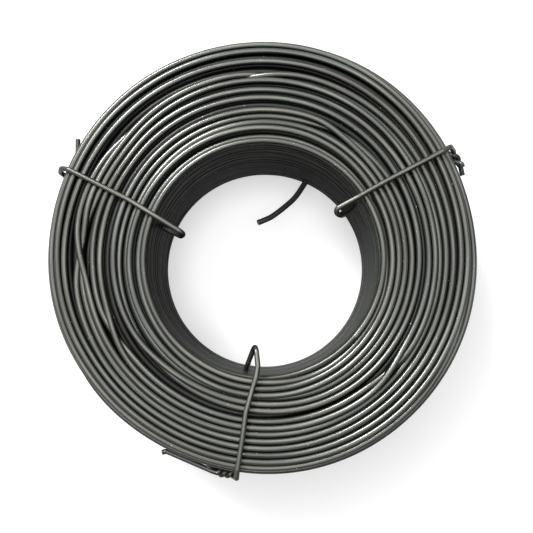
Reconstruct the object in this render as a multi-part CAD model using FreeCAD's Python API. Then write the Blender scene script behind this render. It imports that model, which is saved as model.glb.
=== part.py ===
"""Coil of annealed steel tie wire, held by three wire ties.

One long wire is wound into a low ring that lies flat. Its inner end sticks out into the bore, and
three short wires are looped round the ring's section, each twisted shut on the outer wall.
+Z is up, the ring's axis is the Z axis, and z = 0 is the underside of the ties, on which it lies.
"""
import FreeCAD, Part
import math
import os
from FreeCAD import Vector

# The coil wire and how it is wound (mm)
wire_d = 1.6            # 16 gauge
turn_gap = 0.05         # slack between one turn and the next
bore_d = 56.5           # inside the innermost turns
layers = 15             # turns side by side from the bore to the outer wall
turns_high = 23         # turns side by side up a wall
outer_corner_r = 4.0    # the outer edges are rounded by turns that step down
inner_corner_r = 1.6
ridge_half_angle = 60   # degrees of each outside turn that shows, each side of its crest

# The loose inner end
loose_end_r = 27.0      # it keeps the curl of the turns it came from
loose_end_turn = 33     # degrees of that curl that show, from the bore wall to the cut
loose_end_hidden = 5.0  # length that lies among the turns
loose_end_at = 64.5     # degrees round the axis, where it leaves the bore wall
loose_end_lean = 8.5    # degrees from straight across the bore, where it leaves the wall
loose_end_turn_up = 3   # it leaves the bore wall from this turn, counted from the lowest
loose_end_rise = 3.4    # climb from the wall to the cut
loose_end_steps = 6     # straight runs in its path, joined by arcs

# The ties
tie_d = 1.2             # 18 gauge
seat_gap = 0.05         # between a tie and the crests it lies on
wall_gap = 0.3          # between a knot and the outer wall
bend_r = 1.5            # where a tie is bent by hand
apex_drop = 1.6         # the inner bend lies this much below the top strand
apex_foot_gap = 0.35    # between the foot of the inner strand and the bore wall
twist_lead = 4.4        # along the knot, for one turn of the pair
twist_clear = 1.06      # distance between the two strands of a knot, in tie diameters
twist_steps = 8         # points for one turn of a knot
twist_start = 1.6       # from the tie's own plane to the first point of its knot
twist_reach = 2.4       # from the knot to the point where each strand turns towards it
run_share = 0.45        # the most of a straight run that one bend may use up

# Each tie: degrees round the axis, how far it leans anticlockwise at the bore, how far its inner bend
# stands in from the bore wall and its outer bend out from the outer wall, how far its foot lies
# clockwise of the top strand, the knot's depth below the top turns, the turns of its twist, and for
# each cut end its length and how far it splays out from the wall.
ties = {
    "tie_right": dict(at=30.8, lean=1.6, inset=7.3, outset=0.9, foot_shift=0.4, knot_depth=5.0,
                      turns=1.25, upper_end=(1.6, 0.2), lower_end=(3.2, 0.2)),
    "tie_left": dict(at=156.2, lean=2.5, inset=7.7, outset=2.2, foot_shift=0.0, knot_depth=9.0,
                     turns=1.0, upper_end=(2.6, 0.6), lower_end=(4.0, 1.6)),
    "tie_front": dict(at=263.1, lean=1.4, inset=6.8, outset=1.0, foot_shift=2.6, knot_depth=6.5,
                      turns=1.0, upper_end=(2.4, 0.1), lower_end=(13.0, 0.6)),
}

# Worked out from the above
wire_r = wire_d / 2
tie_r = tie_d / 2
pitch = wire_d + turn_gap
bore_r = bore_d / 2
outer_r = bore_r + wire_d + (layers - 1) * pitch
coil_low = tie_d + seat_gap
coil_top = coil_low + wire_d + (turns_high - 1) * pitch
above_top = coil_top + seat_gap + tie_r
UP = Vector(0, 0, 1)


def round_axis(r, degrees, z):
    """The point at a radius and an angle round the coil's axis."""
    a = math.radians(degrees)
    return Vector(r * math.cos(a), r * math.sin(a), z)


def bent_path(points, largest_r):
    """Straight runs joined by tangent arcs, each as large as its two runs allow. Returns its edges."""
    edges = []
    here = points[0]
    for before, corner, after in zip(points, points[1:], points[2:]):
        back = before - corner
        on = after - corner
        half_turn = (math.pi - back.getAngle(on)) / 2
        reach = min(run_share * min(back.Length, on.Length), largest_r * math.tan(half_turn))
        r = reach / math.tan(half_turn)
        back.normalize()
        on.normalize()
        inward = back + on
        inward.normalize()
        start = corner + back * reach
        end = corner + on * reach
        middle = corner + inward * (r / math.cos(half_turn) - r)
        edges.append(Part.LineSegment(here, start).toShape())
        edges.append(Part.Arc(start, middle, end).toShape())
        here = end
    edges.append(Part.LineSegment(here, points[-1]).toShape())
    return edges


def bent_wire(name, edges, d):
    """A round wire of diameter d along the edges, as a solid."""
    path = Part.Wire(edges)
    start = path.Edges[0].valueAt(path.Edges[0].FirstParameter)
    along = path.Edges[0].tangentAt(path.Edges[0].FirstParameter)
    section = Part.Wire(Part.makeCircle(d / 2, start, along))
    solid = path.makePipeShell([section], True, False)
    bends = [e.Curve.Radius for e in path.Edges if isinstance(e.Curve, Part.Circle)]
    expected = math.pi * d * d / 4 * path.Length
    print(f"{name}: length {path.Length:.1f}, smallest bend {min(bends):.2f}, "
          f"volume {solid.Volume / expected:.4f} of section times length")
    return solid


def section_path():
    """The rounded path that the outside turns' centres follow round the ring's section, as (kind,
    shape, length) stretches. An arc's shape is its centre, its radius and the way its start faces, and
    a run's is its two ends and the way it faces."""
    low_r, high_r = bore_r + wire_r, outer_r - wire_r
    low_z, high_z = coil_low + wire_r, coil_top - wire_r
    outer = outer_corner_r - wire_r
    inner = inner_corner_r - wire_r
    corners = [
        (high_r - outer, low_z + outer, outer, -90),
        (high_r - outer, high_z - outer, outer, 0),
        (low_r + inner, high_z - inner, inner, 90),
        (low_r + inner, low_z + inner, inner, 180),
    ]
    stretches = []
    for corner, following in zip(corners, corners[1:] + corners[:1]):
        centre_r, centre_z, r, facing = corner
        start, end = (on_circle(c[0], c[1], c[2], facing + 90) for c in (corner, following))
        stretches.append(("arc", (centre_r, centre_z, r, facing), math.pi / 2 * r))
        stretches.append(("run", (start, end, facing + 90), math.dist(start, end)))
    return stretches


def on_circle(centre_r, centre_z, r, degrees):
    """The point of a circle in the section that lies at an angle up from straight outwards."""
    a = math.radians(degrees)
    return centre_r + r * math.cos(a), centre_z + r * math.sin(a)


def section_beads():
    """Centres (r, z) of the turns that show, evenly spaced, and the way each one faces."""
    stretches = section_path()
    total = sum(length for _, _, length in stretches)
    count = round(total / pitch)
    beads = []
    for i in range(count):
        s = (i + 0.5) * total / count
        for kind, shape, length in stretches:
            if s < length:
                break
            s -= length
        if kind == "arc":
            centre_r, centre_z, r, facing = shape
            facing += 90 * s / length
            beads.append((*on_circle(centre_r, centre_z, r, facing), facing))
        else:
            start, end, facing = shape
            f = s / length
            beads.append((start[0] + f * (end[0] - start[0]), start[1] + f * (end[1] - start[1]), facing))
    return beads


def wound_ring():
    """The wound turns as one turned solid, ridged on every side by the turns that show."""
    def on_bead(bead, turned):
        r, z = on_circle(bead[0], bead[1], wire_r, bead[2] + turned)
        return Vector(r, 0, z)

    beads = section_beads()
    edges = []
    for bead, following in zip(beads, beads[1:] + beads[:1]):
        end = on_bead(bead, ridge_half_angle)
        edges.append(Part.Arc(on_bead(bead, -ridge_half_angle), on_bead(bead, 0), end).toShape())
        edges.append(Part.LineSegment(end, on_bead(following, -ridge_half_angle)).toShape())
    return Part.Face(Part.Wire(edges)).revolve(Vector(0, 0, 0), UP, 360)


def loose_end():
    """The wire's inner end: an even curl out of the bore wall, climbing slowly to its cut."""
    bore_turns = sorted(z for _, z, facing in section_beads() if facing == 180)
    root = round_axis(bore_r, loose_end_at, bore_turns[loose_end_turn_up - 1])
    # it curls clockwise as it comes out, so the curl's centre lies to the right of its direction
    to_centre = loose_end_at + 180 - loose_end_lean - 90
    centre = root + round_axis(loose_end_r, to_centre, 0)
    hidden_turn = math.degrees(loose_end_hidden / loose_end_r)
    points = []
    for i in range(loose_end_steps + 1):
        turned = -hidden_turn + i * (hidden_turn + loose_end_turn) / loose_end_steps
        rise = loose_end_rise * max(turned, 0) / loose_end_turn
        points.append(centre + round_axis(loose_end_r, to_centre + 180 - turned, rise))
    return bent_wire("loose end", bent_path(points, loose_end_r), wire_d)


def knot_strand(tie, upper, knot_z):
    """Points of one strand of a knot, going clockwise from the tie. The upper strand comes down
    into the twist on its outer side, and the lower one comes up between it and the wall."""
    helix_r = tie_r * twist_clear / math.cos(math.pi / twist_steps)
    axis_r = outer_r + wall_gap + helix_r + tie_r
    first = 0 if upper else math.pi
    points = []
    for i in range(round(tie["turns"] * twist_steps) + 1):
        a = first - 2 * math.pi * i / twist_steps
        along = twist_start + i * twist_lead / twist_steps
        points.append((axis_r + helix_r * math.cos(a), -along, knot_z + helix_r * math.sin(a)))
    length, splay = tie["upper_end"] if upper else tie["lower_end"]
    r, s, z = points[-1]
    return points + [(r + splay, s - length, z)]


def tie_loop(name, tie):
    """One tie: round the ring's section once, its two ends twisted together on the outer wall."""
    knot_z = coil_top - tie["knot_depth"]
    apex_r = bore_r - tie["inset"]
    foot_r = bore_r - tie_r - apex_foot_gap
    leg_r = outer_r + tie_r + seat_gap
    bend_out_r = outer_r + tie["outset"]
    edge_lean = tie["lean"] * (bend_out_r - bore_r) / (bend_out_r - apex_r)
    loop = [
        (bend_out_r, 0, knot_z + twist_reach),
        (bend_out_r, 0, above_top),
        (bore_r, edge_lean, above_top),
        (apex_r, tie["lean"], above_top - apex_drop),
        (foot_r, tie["lean"] - tie["foot_shift"], tie_r),
        (leg_r, 0, tie_r),
        (leg_r, 0, knot_z - twist_reach),
    ]
    points = knot_strand(tie, True, knot_z)[::-1] + loop + knot_strand(tie, False, knot_z)
    placed = [round_axis(r, tie["at"] + math.degrees(s / outer_r), z) for r, s, z in points]
    return bent_wire(name, bent_path(placed, bend_r), tie_d)


os.makedirs("parts", exist_ok=True)
coil = wound_ring().fuse(loose_end())
print(f"outer diameter {2 * outer_r:.1f}, height over the turns {coil_top - coil_low:.1f}, "
      f"solids {len(coil.Solids)}")
coil.Solids[0].exportStep("parts/wire_coil.step")
for tie_name, tie_sizes in ties.items():
    tie_loop(tie_name, tie_sizes).exportStep(f"parts/{tie_name}.step")
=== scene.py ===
"""The looks of a coil of annealed tie wire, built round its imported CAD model.

The CAD ring is one turned solid. Here the wire is wound for real: shells of turns, one inside the
other, each one long spiral round the ring's section, settled against one another. Some turns still run
into each other by up to 1.1 mm: at the two places on top where turns change places, and where the base
meets the bore. Sizes are in millimetres until a mesh is made.
"""
import math

import bpy
import numpy as np
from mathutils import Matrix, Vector


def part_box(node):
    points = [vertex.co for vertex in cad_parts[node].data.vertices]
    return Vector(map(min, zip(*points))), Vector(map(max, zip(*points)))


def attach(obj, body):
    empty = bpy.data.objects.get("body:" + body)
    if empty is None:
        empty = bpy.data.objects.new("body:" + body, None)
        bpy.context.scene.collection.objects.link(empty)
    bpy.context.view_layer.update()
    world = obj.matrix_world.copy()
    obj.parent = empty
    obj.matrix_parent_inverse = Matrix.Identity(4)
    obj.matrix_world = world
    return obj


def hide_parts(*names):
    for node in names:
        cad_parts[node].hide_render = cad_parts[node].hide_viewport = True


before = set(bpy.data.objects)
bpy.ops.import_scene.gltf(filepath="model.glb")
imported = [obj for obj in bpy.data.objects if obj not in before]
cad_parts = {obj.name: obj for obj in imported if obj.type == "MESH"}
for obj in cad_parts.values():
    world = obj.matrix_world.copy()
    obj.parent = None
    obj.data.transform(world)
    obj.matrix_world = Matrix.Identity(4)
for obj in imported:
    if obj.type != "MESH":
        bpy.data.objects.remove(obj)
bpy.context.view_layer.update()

MM = 0.001

# ---- sizes of the coil, as its maker would state them --------------------------------------------
WIRE_D = 1.6             # 16 gauge
TIE_D = 1.28             # a little over 18 gauge (1.2), which is what the CAD ties have
TURN_GAP = 0.05          # slack between one turn and the next
LAYERS = 15              # turns side by side from the bore to the rim
SEAT_GAP = 0.05          # between a tie and the turns that it lies on
OUTER_CORNER_R = 4.0     # the rim is rounded by turns that step down
INNER_CORNER_R = 1.6
WIRE_R = WIRE_D / 2
TIE_R = TIE_D / 2


def coil_sizes():
    """Bore and rim radius and the heights of the lowest and highest turns, read from the frame."""
    low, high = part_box("wire_coil")
    rim_r = (high.x - low.x) / 2 / MM
    bore_r = rim_r - WIRE_D - (LAYERS - 1) * (WIRE_D + TURN_GAP)
    return bore_r, rim_r, low.z / MM, high.z / MM


BORE_R, RIM_R, COIL_LOW, COIL_TOP = coil_sizes()


# ---- winding --------------------------------------------------------------------------------------
SLICES = 240             # places round the ring where every turn has a point
SHELLS = (               # pitch of the turns, from the shell that shows to the one behind its gaps
    dict(pitch=1.67, inset=0.0),
    dict(pitch=1.70, inset=1.50),
    dict(pitch=1.66, inset=3.05),
)
SIDE_WANDER = ((1.1, 0.42 * WIRE_D), (0.45, 0.35 * WIRE_D))    # waves in a turn, size
SINK_WANDER = (0.9, 0.40 * WIRE_D)
BORE_LOOSE = 0.12        # how much of that sinking the bore wall takes
WINDING_SEED = 16
SETTLE_STEPS = 110
SPREAD_SHARE = 0.45      # of each overlap that one step takes out
EVEN_EARLY, EVEN_LATE = 0.5, 0.1     # share of each kink that one step takes out
SMOOTH_STEPS = 12        # after the turns have settled
NEIGHBOURS = 14          # turns that each turn is kept clear of
SLICE_ANGLES = np.arange(SLICES) / SLICES * 2 * math.pi
CROSSINGS = (            # where two turns on top change places: radius, and degrees from and to
    (47.3, 88, 178), (38.0, 208, 318),
)
CROSSING_DEGREES = 22    # taken up by one crossing
BORE_SAG = 0.75          # how far the lowest turns of the bore lean in, at the back
RIM_LOBES = (            # how far the wound rim stands out of round: waves round it, size, where it peaks
    (0, 0.60, 0), (1, 1.90, 102), (2, 0.38, 108), (3, 0.36, 68), (5, 0.14, 60),
)


def rim_swell(angle):
    """How far the rim stands outside its true circle at an angle round the axis, in radians."""
    return sum(size * np.cos(waves * (angle - math.radians(peak))) for waves, size, peak in RIM_LOBES)


def rounded_section(inset):
    """Corners of the path that a shell's turns follow round the section: centre r, z and radius."""
    low_r, high_r = BORE_R + WIRE_R + inset, RIM_R - WIRE_R - inset
    low_z, high_z = COIL_LOW + WIRE_R + inset, COIL_TOP - WIRE_R - inset
    outer = max(OUTER_CORNER_R - WIRE_R - inset * 0.5, 0.4)
    inner = max(INNER_CORNER_R - WIRE_R - inset * 0.5, 0.3)
    # in this order: up the bore wall, over the top, down the rim and back under
    return [
        (low_r + inner, low_z + inner, inner, -90),
        (low_r + inner, high_z - inner, inner, 180),
        (high_r - outer, high_z - outer, outer, 90),
        (high_r - outer, low_z + outer, outer, 0),
    ]


def along_section(inset, s):
    """Points (r, z) and outward normals at distances s along a shell's path, which closes on itself."""
    corners = rounded_section(inset)
    stretches = []
    for (r, z, radius, facing), (next_r, next_z, next_radius, _) in zip(corners, corners[1:] + corners[:1]):
        a = math.radians(facing - 90)
        normal = np.array([math.cos(a), math.sin(a)])
        start = np.array([r, z]) + radius * normal
        end = np.array([next_r, next_z]) + next_radius * normal
        stretches.append((np.array([r, z]), radius, facing, start, end, normal))
    lengths = [(math.pi / 2 * radius, float(np.linalg.norm(end - start)))
               for _, radius, _, start, end, _ in stretches]
    total = sum(length for pair in lengths for length in pair)
    s = np.mod(s, total)
    points = np.zeros(s.shape + (2,))
    normals = np.zeros(s.shape + (2,))
    begin = 0.0
    for (centre, radius, facing, start, end, normal), (arc, run) in zip(stretches, lengths):
        on_arc = (s >= begin) & (s < begin + arc)
        a = np.radians(facing - 90 * (s - begin) / arc)
        out = np.stack([np.cos(a), np.sin(a)], -1)
        points[on_arc] = (centre + radius * out)[on_arc]
        normals[on_arc] = out[on_arc]
        begin += arc
        on_run = (s >= begin) & (s <= begin + run)
        f = ((s - begin) / run)[..., None]
        points[on_run] = (start + f * (end - start))[on_run]
        normals[on_run] = normal
        begin += run
    return points, normals, total


def wander(rng, turns, waves, size):
    """A smooth random offset for every point of a shell, continuous from one turn to the next."""
    knots = rng.normal(size=int(turns * waves) + 3)
    at = np.arange(turns * SLICES) / SLICES * waves
    i = at.astype(int)
    f = at - i
    f = f * f * (3 - 2 * f)
    return (size * (knots[i] * (1 - f) + knots[i + 1] * f)).reshape(turns, SLICES)


def wind_shell(number, shell, rng):
    """Points (turn, slice, (r, z)) of a shell before it settles."""
    length = along_section(shell["inset"], np.zeros(1))[2]
    turns = round(length / shell["pitch"])
    pitch = length / turns
    s = (np.arange(turns * SLICES) / SLICES * pitch).reshape(turns, SLICES)
    for waves, size in SIDE_WANDER:
        s = s + wander(rng, turns, waves, size)
    points, normals, _ = along_section(shell["inset"], s + (number % 2) * pitch / 2)
    # the wire lay neatly on the reel, so the bore wall is the most even side and the top the least
    loose = np.clip(0.55 + 0.45 * normals[..., 1] + 0.1 * normals[..., 0], BORE_LOOSE, 1)
    loose = np.where(normals[..., 0] < -0.5, BORE_LOOSE, loose)
    sink = loose * np.abs(wander(rng, turns, *SINK_WANDER))
    points = points - normals * sink[..., None]
    across = (points[..., 0] - BORE_R) / (RIM_R - BORE_R)
    points[..., 0] += across * rim_swell(SLICE_ANGLES)
    return points


def spread_apart(p, near, room):
    """Moves the turns of each slice off one another. near lists each turn's neighbours."""
    apart = p[:, None] - p[near]
    gap = np.linalg.norm(apart, axis=-1)
    push = np.maximum(room - gap, 0) / np.maximum(gap, 1e-6)
    return p + SPREAD_SHARE * (apart * push[..., None]).sum(1)


def hold_in(p):
    """Keeps every turn inside the ring's rounded outline, which is a little out of round."""
    p = p.copy()
    swell = rim_swell(SLICE_ANGLES) * np.clip((p[..., 0] - BORE_R) / (RIM_R - BORE_R), 0, 1)
    p[..., 0] -= swell
    low_r, high_r = BORE_R + WIRE_R, RIM_R - WIRE_R
    low_z, high_z = COIL_LOW + WIRE_R, COIL_TOP - WIRE_R
    p = np.stack([np.clip(p[..., 0], low_r, high_r), np.clip(p[..., 1], low_z, high_z)], -1)
    for r_side, z_side, radius in (
        (high_r, high_z, OUTER_CORNER_R - WIRE_R), (high_r, low_z, OUTER_CORNER_R - WIRE_R),
        (low_r, high_z, INNER_CORNER_R - WIRE_R), (low_r, low_z, INNER_CORNER_R - WIRE_R),
    ):
        to_r = 1 if r_side == high_r else -1
        to_z = 1 if z_side == high_z else -1
        centre = np.array([r_side - to_r * radius, z_side - to_z * radius])
        off = p - centre
        in_corner = (off[..., 0] * to_r > 0) & (off[..., 1] * to_z > 0)
        reach = np.linalg.norm(off, axis=-1)
        pulled = centre + off * (radius / np.maximum(reach, 1e-6))[..., None]
        p = np.where((in_corner & (reach > radius))[..., None], pulled, p)
    p[..., 0] += swell
    return p


def even_out(p, shells, share):
    """Takes sharp kinks out of each shell's wire, along its whole length."""
    out = p.copy()
    for first, last in shells:
        wire = p[first:last].reshape(-1, 2)
        middle = (wire[:-2] + wire[2:]) / 2
        wire = np.concatenate([wire[:1], wire[1:-1] + share * (middle - wire[1:-1]), wire[-1:]])
        out[first:last] = wire.reshape(last - first, SLICES, 2)
    return out


def settle():
    """All shells' points (turn, slice, (r, z)) once the turns have been moved off one another as far as
    the steps allow, and each shell's first and last turn."""
    rng = np.random.default_rng(WINDING_SEED)
    shells, parts, first = [], [], 0
    for number, shell in enumerate(SHELLS):
        points = wind_shell(number, shell, rng)
        shells.append((first, first + len(points)))
        first += len(points)
        parts.append(points)
    p = np.concatenate(parts)
    near = nearest_turns(p)
    for step in range(SETTLE_STEPS):
        late = step > SETTLE_STEPS * 0.8
        p = spread_apart(p, near, WIRE_D * 1.01)
        p = hold_in(even_out(p, shells, EVEN_LATE if late else EVEN_EARLY))
        if step == SETTLE_STEPS // 3:
            near = nearest_turns(p)
    p = cross_over(p)
    for _ in range(SMOOTH_STEPS):
        p = even_out(p, shells, EVEN_EARLY)
    return sag(p), shells


def sag(p):
    """Lets the lowest turns of the bore lean in, on the side away from the front tie."""
    across = np.clip((p[..., 0] - BORE_R) / (RIM_R - BORE_R), 0, 1)
    height = np.clip((p[..., 1] - COIL_LOW) / (COIL_TOP - COIL_LOW), 0, 1)
    back = np.clip(np.sin(SLICE_ANGLES), 0, 1)
    p = p.copy()
    p[..., 0] -= BORE_SAG * back ** 3 * (1 - across) ** 2 * (1 - height)
    return p


def cross_over(p):
    """Lets pairs of neighbouring turns on top change places for part of the way round, the one passing
    over the other where they cross. The turns beside a pair stay where they are, so it runs into them."""
    p = p.copy()
    for radius, start, end in CROSSINGS:
        at = p[:, round(start / 360 * SLICES)]
        on_top = at[:, 1] > COIL_TOP - 1.05 * WIRE_D
        k = int(np.argmin(np.where(on_top, np.abs(at[:, 0] - radius), np.inf)))
        degrees = np.degrees(SLICE_ANGLES)
        ease = [np.clip((degrees - a) / CROSSING_DEGREES + 0.5, 0, 1) for a in (start, end)]
        there, back = (f * f * (3 - 2 * f) for f in ease)
        share = (there - back)[:, None]
        inner, outer = p[k].copy(), p[k + 1].copy()
        p[k] = inner + share * (outer - inner)
        p[k + 1] = outer + share * (inner - outer)
        climb = 2 * WIRE_D * (share * (1 - share))[:, 0]
        p[k, :, 1] = np.minimum(p[k, :, 1] + climb, COIL_TOP - WIRE_R + 0.5 * WIRE_D)
        p[k + 1, :, 1] -= climb
    return p


def nearest_turns(p):
    """For each turn, the turns that come nearest to it anywhere round the ring."""
    least = np.full((len(p), len(p)), np.inf)
    for j in range(0, SLICES, 6):
        at = p[:, j]
        least = np.minimum(least, np.linalg.norm(at[:, None] - at[None], axis=-1))
    np.fill_diagonal(least, np.inf)
    return np.argsort(least, axis=1)[:, :NEIGHBOURS]


def ring_points(rz):
    """The wire's points in space, for a shell's (turn, slice, (r, z)), as one long run."""
    turns = len(rz)
    angle = np.arange(turns * SLICES) / SLICES * 2 * math.pi
    flat = rz.reshape(-1, 2)
    return np.stack([flat[:, 0] * np.cos(angle), flat[:, 0] * np.sin(angle), flat[:, 1]], -1)


# ---- making wire from its path --------------------------------------------------------------------
def add(tree, kind, settings=None, links=None):
    """Adds one node, with its settings (properties or input defaults) and the sockets that feed it."""
    node = tree.nodes.new(kind)
    for name, value in (settings or {}).items():
        if isinstance(name, str) and hasattr(node, name):
            setattr(node, name, value)
        else:
            node.inputs[name].default_value = value
    for name, source in (links or {}).items():
        tree.links.new(source, node.inputs[name])
    return node


def wire_tree():
    """Geometry Nodes that draw a round wire along a path, with its length and roundness to hand."""
    tree = bpy.data.node_groups.new("draw_wire", "GeometryNodeTree")
    face = tree.interface
    face.new_socket("Path", in_out="INPUT", socket_type="NodeSocketGeometry")
    face.new_socket("Wire diameter", in_out="INPUT", socket_type="NodeSocketFloat")
    face.new_socket("Sides", in_out="INPUT", socket_type="NodeSocketInt")
    face.new_socket("Finish", in_out="INPUT", socket_type="NodeSocketMaterial")
    face.new_socket("Wire", in_out="OUTPUT", socket_type="NodeSocketGeometry")
    given = add(tree, "NodeGroupInput")
    half = add(tree, "ShaderNodeMath", {"operation": "MULTIPLY", 1: 0.5}, {0: given.outputs["Wire diameter"]})
    section = add(tree, "GeometryNodeCurvePrimitiveCircle", {},
                  {"Resolution": given.outputs["Sides"], "Radius": half.outputs[0]})
    length = add(tree, "GeometryNodeSplineParameter")
    along = add(tree, "GeometryNodeStoreNamedAttribute",
                {"data_type": "FLOAT", "domain": "POINT", "Name": "along"},
                {"Geometry": given.outputs["Path"], "Value": length.outputs["Length"]})
    place = add(tree, "GeometryNodeInputPosition")
    round_it = add(tree, "GeometryNodeStoreNamedAttribute",
                   {"data_type": "FLOAT_VECTOR", "domain": "POINT", "Name": "round"},
                   {"Geometry": section.outputs["Curve"], "Value": place.outputs["Position"]})
    skin = add(tree, "GeometryNodeCurveToMesh", {"Fill Caps": True},
               {"Curve": along.outputs["Geometry"], "Profile Curve": round_it.outputs["Geometry"]})
    real = add(tree, "GeometryNodeRealizeInstances", {}, {"Geometry": skin.outputs["Mesh"]})
    finish = add(tree, "GeometryNodeSetMaterial", {},
                 {"Geometry": real.outputs["Geometry"], "Material": given.outputs["Finish"]})
    add(tree, "NodeGroupOutput", {}, {"Wire": finish.outputs["Geometry"]})
    return tree


def make_wire(name, paths, diameter, sides, finish):
    """One mesh object of wire along each path, in metres, with flat cut ends."""
    curve = bpy.data.curves.new(name + "_path", "CURVE")
    curve.dimensions = "3D"
    for path in paths:
        spline = curve.splines.new("POLY")
        spline.points.add(len(path) - 1)
        spline.points.foreach_set("co", np.c_[np.asarray(path) * MM, np.ones(len(path))].ravel())
    source = bpy.data.objects.new(name + "_source", curve)
    bpy.context.scene.collection.objects.link(source)
    modifier = source.modifiers.new("draw_wire", "NODES")
    modifier.node_group = WIRE_TREE
    values = {"Wire diameter": diameter * MM, "Sides": sides, "Finish": finish}
    for item in WIRE_TREE.interface.items_tree:
        if item.in_out == "INPUT" and item.name in values:
            modifier[item.identifier] = values[item.name]
    graph = bpy.context.evaluated_depsgraph_get()
    mesh = bpy.data.meshes.new_from_object(source.evaluated_get(graph))
    mesh.name = name
    source.modifiers.remove(modifier)
    bpy.data.objects.remove(source)
    bpy.data.curves.remove(curve)
    shade_round(mesh)
    piece = bpy.data.objects.new(name, mesh)
    bpy.context.scene.collection.objects.link(piece)
    return piece


def shade_round(mesh):
    """Smooth along the wire, sharp at its cut ends, which are the only faces with many corners."""
    count = np.zeros(len(mesh.polygons), np.int32)
    mesh.polygons.foreach_get("loop_total", count)
    mesh.polygons.foreach_set("use_smooth", count == 4)
    mesh.update()


# ---- finishes -------------------------------------------------------------------------------------
def linear(hex_colour):
    """A linear RGBA colour from its sRGB hex code."""
    def one(c):
        return c / 12.92 if c <= 0.04045 else ((c + 0.055) / 1.055) ** 2.4
    value = int(hex_colour.lstrip("#"), 16)
    return tuple(one(((value >> shift) & 255) / 255) for shift in (16, 8, 0)) + (1.0,)


def ramp(tree, factor, stops):
    """A colour ramp through (place, hex colour) stops."""
    node = add(tree, "ShaderNodeValToRGB", {}, {"Fac": factor})
    while len(node.color_ramp.elements) < len(stops):
        node.color_ramp.elements.new(0.5)
    for element, (place, colour) in zip(node.color_ramp.elements, stops):
        element.position = place
        element.color = linear(colour)
    return node.outputs["Color"]


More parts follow.
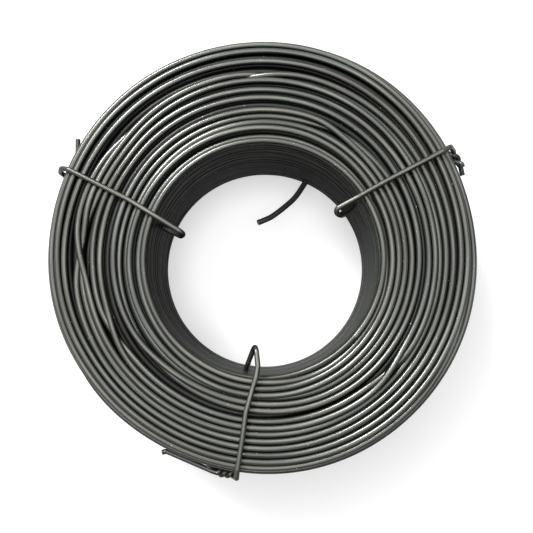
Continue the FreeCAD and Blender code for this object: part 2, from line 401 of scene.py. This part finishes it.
def black_annealed_steel(name, dark, mid, light, roughness, metallic=0.5, shade_flanks=False):
    """Drawn mild steel wire, annealed in a closed pot: a thin grey-black oxide, slick and a little
    uneven, with fine die lines along the wire, small rubbed places and a few specks of rust. With
    shade_flanks, the wire's flanks are painted darker than its crests, a painted shade for the gaps
    between turns."""
    material = bpy.data.materials.new(name)
    material.use_nodes = True
    tree = material.node_tree
    tree.nodes.clear()
    along = add(tree, "ShaderNodeAttribute", {"attribute_name": "along"}).outputs["Fac"]
    across = add(tree, "ShaderNodeAttribute", {"attribute_name": "round"}).outputs["Vector"]
    split = add(tree, "ShaderNodeSeparateXYZ", {}, {"Vector": across})
    # metres to millimetres, with the length squeezed so that the grain runs along the wire
    def grain(stretch, scale):
        x = add(tree, "ShaderNodeMath", {"operation": "MULTIPLY", 1: 1 / stretch}, {0: along}).outputs[0]
        vector = add(tree, "ShaderNodeCombineXYZ", {},
                     {"X": x, "Y": split.outputs["X"], "Z": split.outputs["Y"]})
        return add(tree, "ShaderNodeTexNoise", {"noise_dimensions": "3D", "Scale": scale / MM, "Detail": 3.0,
                                                "Roughness": 0.6}, {"Vector": vector.outputs[0]}).outputs["Fac"]
    die_lines = grain(60.0, 2.6)
    patches = grain(14.0, 0.5)
    place = add(tree, "ShaderNodeTexCoord").outputs["Object"]
    specks = add(tree, "ShaderNodeTexNoise", {"Scale": 0.9 / MM, "Detail": 4.0, "Roughness": 0.7},
                 {"Vector": place}).outputs["Fac"]
    tone = add(tree, "ShaderNodeMath", {"operation": "MULTIPLY_ADD", 1: 0.55}, {0: patches, 2: die_lines})
    tone = add(tree, "ShaderNodeMath", {"operation": "MULTIPLY", 1: 0.65}, {0: tone.outputs[0]}).outputs[0]
    colour = ramp(tree, tone, ((0.32, dark), (0.5, mid), (0.70, light)))
    # the oxide's colour drifts over a turn or so, from a cold green-grey to a warm brown-grey
    heat = add(tree, "ShaderNodeTexNoise", {"noise_dimensions": "1D", "Scale": 1 / (90 * MM), "Detail": 2.0},
               {"W": along}).outputs["Fac"]
    tint = ramp(tree, heat, ((0.38, "#f0f3f2"), (0.52, "#f2f2f0"), (0.64, "#f4f0eb")))
    colour = add(tree, "ShaderNodeMix", {"data_type": "RGBA", "blend_type": "MULTIPLY", 0: 1.0},
                 {6: colour, 7: tint}).outputs[2]
    # painted shade: where the surface faces sideways, into the gaps between turns, the colour is darkened; the
    # crests keep it
    if shade_flanks:
        facing = add(tree, "ShaderNodeNewGeometry").outputs["Normal"]
        up = add(tree, "ShaderNodeSeparateXYZ", {}, {"Vector": facing}).outputs["Z"]
        up = add(tree, "ShaderNodeMath", {"operation": "ABSOLUTE"}, {0: up}).outputs[0]
        crest = add(tree, "ShaderNodeMapRange", {"interpolation_type": "SMOOTHSTEP", "From Min": 0.35,
                                                 "From Max": 0.96}, {"Value": up}).outputs["Result"]
        flank_shade = ramp(tree, crest, ((0.0, "#363836"), (1.0, "#ffffff")))
        colour = add(tree, "ShaderNodeMix", {"data_type": "RGBA", "blend_type": "MULTIPLY", 0: 1.0},
                     {6: colour, 7: flank_shade}).outputs[2]
    rust_at = add(tree, "ShaderNodeMapRange", {"From Min": 0.70, "From Max": 0.78}, {"Value": specks})
    rust = add(tree, "ShaderNodeMix", {"data_type": "RGBA", 7: linear("#6a4a33")},
               {0: rust_at.outputs["Result"], 6: colour})
    nicks = add(tree, "ShaderNodeTexNoise", {"Scale": 2.2 / MM, "Detail": 1.0},
                {"Vector": place}).outputs["Fac"]
    nick_at = add(tree, "ShaderNodeMapRange", {"From Min": 0.765, "From Max": 0.80}, {"Value": nicks})
    nicked = add(tree, "ShaderNodeMix", {"data_type": "RGBA", 7: linear("#c9ccc6")},
                 {0: nick_at.outputs["Result"], 6: rust.outputs[2]})
    rough = add(tree, "ShaderNodeMapRange", {"From Min": 0.3, "From Max": 0.7, "To Min": roughness - 0.05,
                                             "To Max": roughness + 0.08}, {"Value": patches})
    bump = add(tree, "ShaderNodeBump", {"Strength": 0.08, "Distance": 0.02 * MM}, {"Height": die_lines})
    shader = add(tree, "ShaderNodeBsdfPrincipled", {"Metallic": metallic},
                 {"Base Color": nicked.outputs[2], "Roughness": rough.outputs["Result"],
                  "Normal": bump.outputs["Normal"]})
    add(tree, "ShaderNodeOutputMaterial", {}, {"Surface": shader.outputs["BSDF"]})
    return material


# ---- bent wires -----------------------------------------------------------------------------------
TOP = COIL_TOP + SEAT_GAP + TIE_R        # height of a tie's strand over the turns
BEND_R = 1.3             # where a tie is bent by hand
ARC_STEPS = 7
KNOT_STEPS = 14          # points for one turn
KNOT_R = TIE_R * 1.04    # of each strand's path round the knot's axis

# Each tie in its own plane: degrees round the axis; then points (out from the axis, anticlockwise, up)
# over the turns and round the inner bend, from the rim to the foot; the knot's height, how far its axis
# stands out, where it begins, the turns of its twist and the length of one; and the points that each
# cut end runs through, as (further out, further clockwise, further up) from the knot's end.
TIES = {
    "tie_right": dict(
        at=30.9,
        over=((54.0, 0.0, 37.2), (53.4, 0.0, TOP - 0.9), (51.0, 0.0, TOP), (36.3, 0.75, TOP + 0.1),
              (27.5, 1.0, TOP),
              (21.7, 1.25, TOP - 0.5), (21.1, 0.5, TOP - 1.4), (21.6, -0.4, TOP - 2.4), (26.4, 0.3, 30.5),
              (27.6, 1.0, 24.0), (27.6, 2.0, TIE_R)),
        knot=(34.0, 54.5, 1.0, 0.75, 4.4), upper=((0.5, 0.7, 0.5), (0.3, 1.3, 0.2)),
        lower=((0.2, 1.0, -0.2), (-0.3, 3.1, -0.9)),
    ),
    "tie_left": dict(
        at=156.1,
        over=((54.6, 0.7, 32.8), (55.0, 0.5, 36.2), (54.3, -0.3, TOP - 1.0), (52.2, -0.7, TOP),
              (36.0, 0.1, TOP + 0.1),
              (27.0, 1.3, TOP), (21.0, 2.1, TOP - 0.6), (20.2, 2.4, TOP - 1.7), (20.8, 3.0, TOP - 2.9),
              (26.3, 2.6, 33.0), (27.6, 1.6, 24.0), (27.6, 0.2, TIE_R)),
        knot=(28.6, 54.7, 1.3, 1.0, 4.4), upper=((0.5, 1.2, 0.3), (1.7, 4.0, 0.5)),
        lower=((-0.1, 1.2, -0.4), (0.5, 2.5, -0.9)),
    ),
    "tie_front": dict(
        at=263.1,
        over=((53.2, 0.0, 36.2), (52.6, 0.0, TOP - 0.8), (50.4, 0.0, TOP), (43.0, 0.3, TOP + 0.1),
              (37.0, 0.35, TOP + 0.1),
              (31.0, 1.25, TOP), (28.4, 1.75, TOP + 0.2), (25.6, 1.85, TOP), (22.2, 1.05, TOP - 0.6),
              (21.3, 0.6, TOP - 1.8), (22.3, 0.2, TOP - 3.2), (25.8, -0.7, 33.0), (27.6, -1.2, 27.0),
              (27.6, -1.6, TIE_R)),
        knot=(32.6, 53.0, 1.0, 1.25, 3.0), upper=((-0.1, 1.0, 0.4), (-0.9, 3.0, 0.9)),
        lower=((-0.2, 1.3, -0.2), (-3.2, 13.4, -2.2), (-2.8, 14.4, -2.3)),
    ),
}

# The wire's inner end: out of the bore wall in an even curl, climbing slowly to its cut
LOOSE_END = ((12.9, 27.6, 5.0), (12.3, 26.1, 5.2), (11.4, 24.4, 5.5), (8.85, 20.6, 6.3), (6.0, 17.8, 7.2),
             (2.5, 14.95, 8.3), (0.4, 13.75, 9.0), (-1.85, 12.75, 9.7))


def round_bends(points, largest_r):
    """Points along straight runs joined by tangent arcs, each as large as its two runs allow."""
    points = [np.array(p, float) for p in points]
    path = [points[0]]
    for before, corner, after in zip(points, points[1:], points[2:]):
        back, on = before - corner, after - corner
        back_length, on_length = np.linalg.norm(back), np.linalg.norm(on)
        back, on = back / back_length, on / on_length
        half_turn = (math.pi - math.acos(float(np.clip(back @ on, -1, 1)))) / 2
        if half_turn < 0.01:
            path.append(corner)
            continue
        reach = min(0.48 * min(back_length, on_length), largest_r * math.tan(half_turn))
        for f in np.linspace(0, 1, ARC_STEPS):
            # a quadratic through the two tangent points stays within a hair of the arc
            path.append(corner + back * reach * (1 - f) ** 2 + on * reach * f ** 2)
    path.append(points[-1])
    return path


def through(points, steps):
    """A smooth curve through every point."""
    p = np.array([2 * np.array(points[0]) - points[1], *points, 2 * np.array(points[-1]) - points[-2]])
    f = np.linspace(0, 1, steps, endpoint=False)[:, None]
    path = []
    for a, b, c, d in zip(p, p[1:], p[2:], p[3:]):
        path.append(b + 0.5 * f * (c - a + f * (2 * a - 5 * b + 4 * c - d + f * (3 * (b - c) + d - a))))
    return np.concatenate(path + [p[-2][None]])


def knot_strand(tie, first, end):
    """One strand of a knot, going clockwise from the tie, and the cut end it runs out into."""
    height, axis_r, start, turns, lead = tie["knot"]
    points = []
    for i in range(round(turns * KNOT_STEPS) + 1):
        a = first - 2 * math.pi * i / KNOT_STEPS
        points.append((axis_r + KNOT_R * math.cos(a), -start - i * lead / KNOT_STEPS,
                       height + KNOT_R * math.sin(a)))
    r, s, z = points[-1]
    return points + [(r + out, s - clockwise, z + up) for out, clockwise, up in end]


def tie_path(tie):
    """A tie's whole path, from one cut end round the ring's section to the other, in space."""
    height, axis_r, start = tie["knot"][:3]
    leg_r = axis_r - KNOT_R + 0.1
    leg = [(leg_r, 0.0, TIE_R), (leg_r, 0.0, height - 2.6), (leg_r, -start * 0.4, height - 0.9)]
    points = knot_strand(tie, 0.0, tie["upper"])[::-1] + list(tie["over"]) + leg
    points += knot_strand(tie, math.pi, tie["lower"])
    a = math.radians(tie["at"])
    out, round_axis = np.array([math.cos(a), math.sin(a), 0]), np.array([-math.sin(a), math.cos(a), 0])
    placed = [r * out + s * round_axis + np.array([0, 0, z]) for r, s, z in points]
    return round_bends(placed, BEND_R)


# ---- pieces ---------------------------------------------------------------------------------------
def bare_cut_ends(piece, finish):
    """Gives a wire's sheared end faces the bright steel under its oxide."""
    mesh = piece.data
    mesh.materials.append(finish)
    for face in mesh.polygons:
        if len(face.vertices) > 4:
            face.material_index = 1


def shade_knot(piece, finish):
    """Gives a tie's knot and tails, out past the rim and below its top, the darker bore finish: a painted
    shade, as they lie in the rim's shade.
    """
    mesh = piece.data
    mesh.materials.append(finish)
    for face in mesh.polygons:
        x, y, z = face.center
        if math.hypot(x, y) > (RIM_R + 0.4) * MM and z < (COIL_TOP - 3) * MM and len(face.vertices) == 4:
            face.material_index = 2


def wire_ends_and_ties(coil_finish, tie_finish, cut_finish, knot_shade_finish):
    """The loose inner end of the coil wire, and the three ties."""
    end = make_wire("loose_inner_end", [through(LOOSE_END, 10)], WIRE_D, 20, coil_finish)
    bare_cut_ends(end, cut_finish)
    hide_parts("wire_coil")
    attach(end, "root")
    for name, tie in TIES.items():
        piece = make_wire(name + "_wire", [tie_path(tie)], TIE_D, 18, tie_finish)
        bare_cut_ends(piece, cut_finish)
        shade_knot(piece, knot_shade_finish)
        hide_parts(name)
        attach(piece, "root")


def coil_pieces(finish, bore_shade_finish, hidden_shade_finish):
    """The wound turns: the shell that shows, one piece for each side of the ring, and two behind it."""
    p, shells = settle()
    pieces = []
    first, last = shells[0]
    shown = ring_points(p[first:last])
    height, width = COIL_TOP - COIL_LOW, RIM_R - BORE_R
    # the bore wall's turns are drawn in the darker copy, a painted shade
    sides = (("turns_up_the_bore", height, bore_shade_finish), ("turns_over_the_top", width, finish),
             ("turns_down_the_rim", height, finish), ("turns_under_the_base", width, finish))
    done = 0.0
    for name, share, side_finish in sides:
        a, b = (round(f / (2 * height + 2 * width) * (len(shown) - 1)) for f in (done, done + share))
        pieces.append(make_wire(name, [shown[a:b + 1]], WIRE_D, 14, side_finish))
        done += share
    # the turns behind are drawn in the darker copy, a painted shade for the gaps they are seen through
    for name, (first, last), sides in (("second_turns", shells[1], 9), ("third_turns", shells[2], 6)):
        pieces.append(make_wire(name, [ring_points(p[first:last])[::2]], WIRE_D, sides, hidden_shade_finish))
    for piece in pieces:
        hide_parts("wire_coil")
        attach(piece, "root")


# ---- setting --------------------------------------------------------------------------------------
def floor():
    """A plain pale floor that keeps the coil's soft shadow, is painted darker close to the coil, and runs out
    to white.
    """
    mesh = bpy.data.meshes.new("floor")
    half = 1.5
    mesh.from_pydata([(-half, -half, 0), (half, -half, 0), (half, half, 0), (-half, half, 0)], [],
                     [(0, 1, 2, 3)])
    obj = bpy.data.objects.new("floor", mesh)
    bpy.context.scene.collection.objects.link(obj)
    material = bpy.data.materials.new("matt_white_card")
    material.use_nodes = True
    tree = material.node_tree
    tree.nodes.clear()
    card = add(tree, "ShaderNodeBsdfDiffuse", {"Color": linear("#c4c4c4")})
    place = add(tree, "ShaderNodeTexCoord").outputs["Object"]
    far = add(tree, "ShaderNodeVectorMath", {"operation": "LENGTH"}, {0: place}).outputs["Value"]
    # what the camera sees is lifted to white: least close to the wire, which paints a shade there on top of the
    # real shadow, more in the middle of the bore, and fully from a hand's width out
    bore = add(tree, "ShaderNodeMapRange", {"interpolation_type": "SMOOTHSTEP", "From Min": 0.018,
                                            "From Max": 0.030, "To Min": 0.74, "To Max": 0.52}, {"Value": far})
    outside = add(tree, "ShaderNodeMapRange", {"interpolation_type": "SMOOTHSTEP", "From Min": 0.050,
                                               "From Max": 0.120, "To Min": 0.0, "To Max": 0.5}, {"Value": far})
    lift = add(tree, "ShaderNodeMath", {"operation": "ADD"}, {0: bore.outputs["Result"],
                                                             1: outside.outputs["Result"]})
    ray = add(tree, "ShaderNodeLightPath")
    lift = add(tree, "ShaderNodeMath", {"operation": "MULTIPLY"}, {0: lift.outputs[0],
                                                                  1: ray.outputs["Is Camera Ray"]})
    white = add(tree, "ShaderNodeEmission", {"Color": linear("#ffffff")}, {"Strength": lift.outputs[0]})
    both = add(tree, "ShaderNodeAddShader", {}, {0: card.outputs[0], 1: white.outputs[0]})
    add(tree, "ShaderNodeOutputMaterial", {}, {"Surface": both.outputs[0]})
    mesh.materials.append(material)


def lamp(name, place, size, power, aim=(0, 0, 0.02)):
    """A square soft light at a place, pointed at the coil. Places and sizes in metres."""
    light = bpy.data.lights.new(name, "AREA")
    light.shape = "RECTANGLE"
    light.size, light.size_y = size
    light.energy = power
    obj = bpy.data.objects.new(name, light)
    bpy.context.scene.collection.objects.link(obj)
    obj.location = place
    obj.rotation_euler = (Vector(aim) - Vector(place)).to_track_quat("-Z", "Y").to_euler()


def studio():
    """A white surround that the steel mirrors dimly, a key lamp and a wide soft lamp overhead."""
    world = bpy.data.worlds.new("pale_room")
    bpy.context.scene.world = world
    world.use_nodes = True
    tree = world.node_tree
    tree.nodes.clear()
    ray = add(tree, "ShaderNodeLightPath")
    room = add(tree, "ShaderNodeBackground", {"Color": linear("#ffffff"), "Strength": 0.04})
    white = add(tree, "ShaderNodeBackground", {"Color": linear("#ffffff"), "Strength": 1.0})
    mix = add(tree, "ShaderNodeMixShader", {}, {0: ray.outputs["Is Camera Ray"], 1: room.outputs[0],
                                                2: white.outputs[0]})
    add(tree, "ShaderNodeOutputWorld", {}, {"Surface": mix.outputs[0]})
    lamp("key", (-0.36, 0.50, 0.64), (0.30, 0.30), 10.5)
    lamp("overhead", (-0.05, 0.12, 0.78), (1.10, 1.10), 7.2)


def camera():
    """Looks down on the coil from a little in front of its axis."""
    data = bpy.data.cameras.new("camera")
    data.sensor_width = 36
    data.lens = 48.63
    obj = bpy.data.objects.new("camera", data)
    bpy.context.scene.collection.objects.link(obj)
    obj.location = (2.24 * MM, -14.9 * MM, 212.8 * MM)
    obj.rotation_euler = (0.0745, 0.0082, 0)
    data.clip_start = 0.01
    bpy.context.scene.camera = obj


WIRE_TREE = wire_tree()
coil_steel = black_annealed_steel("black_annealed_steel_wire", "#474945", "#636561", "#868983", 0.22,
                                  shade_flanks=True)
# painted shade: a darker copy of the wire's steel for the bore wall and for the ties' knots and tails
shaded_bore_steel = black_annealed_steel("black_annealed_steel_bore_painted_shade", "#2b2d2b", "#444744", "#6a6e6a", 0.31,
                                  metallic=0.55)
# painted shade: a much darker copy of the steel for the turns behind the shell that shows, seen only down in
# its gaps
shaded_hidden_steel = black_annealed_steel("black_oxide_painted_shade", "#131413", "#202120", "#343634", 0.36)
tie_steel = black_annealed_steel("annealed_tie_steel", "#4a4c49", "#6a6c68", "#8c8f8a", 0.27, shade_flanks=True)
cut_steel = black_annealed_steel("sheared_steel", "#6c6f6d", "#8b8e8b", "#a8aba8", 0.35)
coil_pieces(coil_steel, shaded_bore_steel, shaded_hidden_steel)
wire_ends_and_ties(coil_steel, tie_steel, cut_steel, shaded_bore_steel)
floor()
studio()
camera()
bpy.context.scene.view_settings.view_transform = "Standard"
